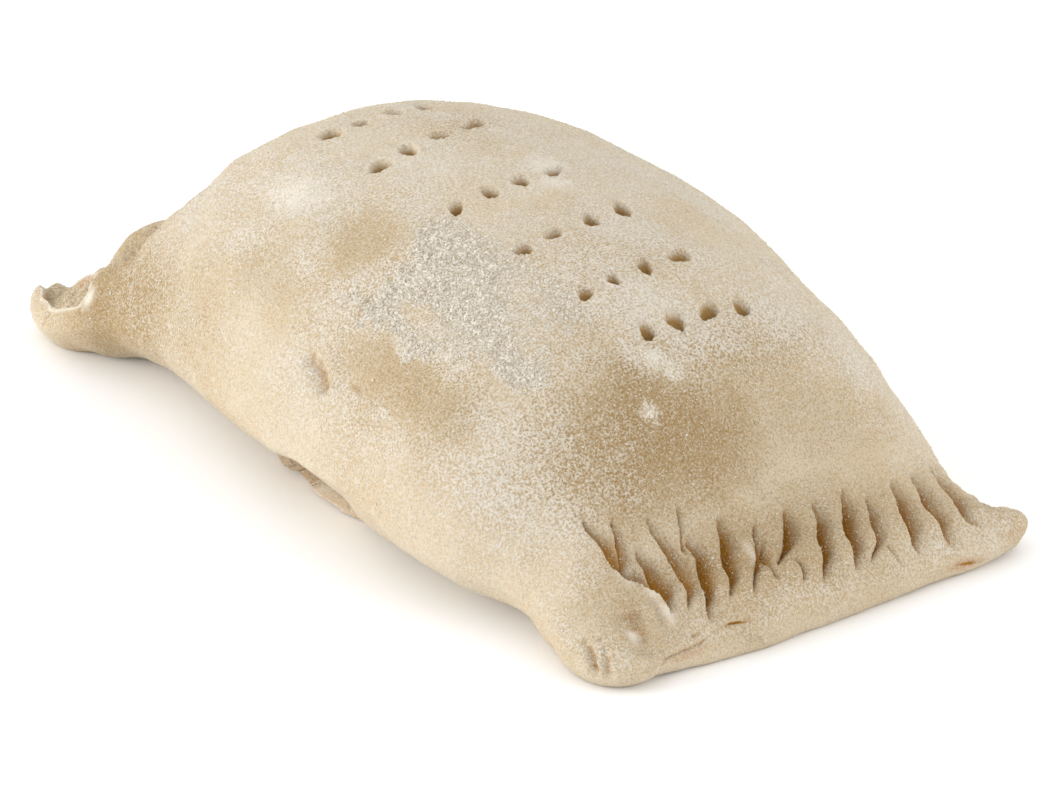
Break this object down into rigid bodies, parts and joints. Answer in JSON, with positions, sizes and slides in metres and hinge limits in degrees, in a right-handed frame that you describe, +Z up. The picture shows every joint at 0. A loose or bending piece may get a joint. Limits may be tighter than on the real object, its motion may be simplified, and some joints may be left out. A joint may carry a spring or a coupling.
{
  "type": "raw puff pastry turnover",
  "caption": "Raw puff pastry parcel rolled round its filling: a floured, domed loaf shape with crimped flat ends, folded corners and fork pricks along its back.",
  "frame": {"origin": "middle of the box's base, on the surface that the parcel lies on", "axes": "+X along the parcel to its crimped end, +Y across it to the right side seen from that end, +Z up"},
  "size_m": [0.1833, 0.109, 0.051],
  "materials": {
    "raw_dough": "matt, floured"
  },
  "bodies": {
    "root": {"turnover": "raw_dough"}
  },
  "joints": []
}
